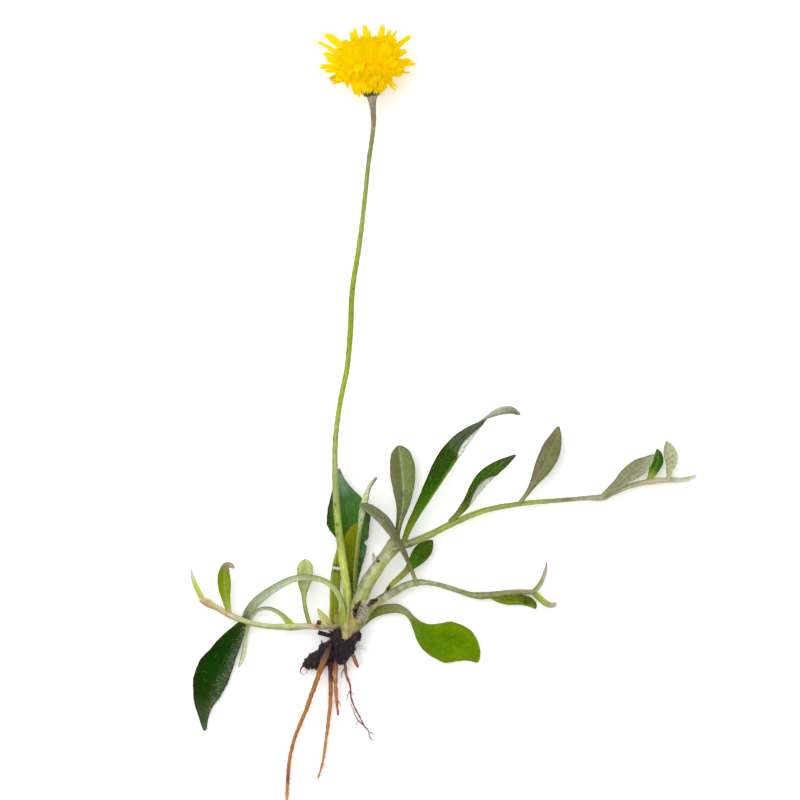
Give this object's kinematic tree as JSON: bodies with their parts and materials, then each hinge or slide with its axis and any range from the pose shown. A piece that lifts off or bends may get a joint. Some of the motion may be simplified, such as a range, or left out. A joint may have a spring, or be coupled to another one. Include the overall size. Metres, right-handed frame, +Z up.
{
  "type": "mouse-ear hawkweed plant",
  "caption": "Whole uprooted mouse-ear hawkweed laid flat: yellow bloom on a long bare stem, leafy runners, dark crown and roots.",
  "frame": {"origin": "centre of the flat spot under the crown, on the surface that the plant lies on", "axes": "+Y along the flower stem from the crown to the bloom, +X to the right seen from above, +Z up from the surface"},
  "size_m": [0.1273, 0.2007, 0.0201],
  "materials": {
    "crown_bark": "matte",
    "root_bark": "matte",
    "stem_green": "satin",
    "runner_green": "satin",
    "leaf_dark": "satin",
    "leaf_bright": "satin",
    "leaf_yellow": "satin",
    "leaf_underside": "matte",
    "leaf_pale": "matte",
    "withered": "matte",
    "bract": "matte",
    "floret_yellow": "satin"
  },
  "bodies": {
    "root": {"crown": "crown_bark", "root_long": "root_bark", "root_middle": "root_bark", "root_short": "root_bark", "root_stub": "root_bark", "root_thin": "root_bark", "scape": "stem_green", "stolon_upper": "runner_green", "stolon_lower": "runner_green", "stolon_left": "runner_green", "leaf_broad": "leaf_dark", "leaf_yellow": "leaf_yellow", "leaf_old": "leaf_yellow", "leaf_folded": "leaf_pale", "leaf_arched": "leaf_dark", "leaf_bright": "leaf_bright", "withered_base": "withered", "withered_scale": "withered", "leaf_grey": "leaf_underside", "leaf_dark": "leaf_dark", "leaf_felted": "leaf_underside", "leaf_long": "leaf_dark", "leaf_narrow": "leaf_dark", "leaf_olive": "leaf_underside", "leaf_silver": "leaf_underside", "leaf_young_dark": "leaf_dark", "leaf_young_pale": "leaf_pale", "leaf_upper_tip": "leaf_pale", "leaf_hanging": "leaf_bright", "leaf_rising": "leaf_pale", "leaf_blunt": "leaf_pale", "leaf_scale": "leaf_yellow", "leaf_spoon": "leaf_pale", "leaf_curled": "leaf_pale", "leaf_hooked": "leaf_bright", "leaf_left_tip": "leaf_pale", "involucre": "bract", "florets": "floret_yellow"}
  },
  "joints": []
}
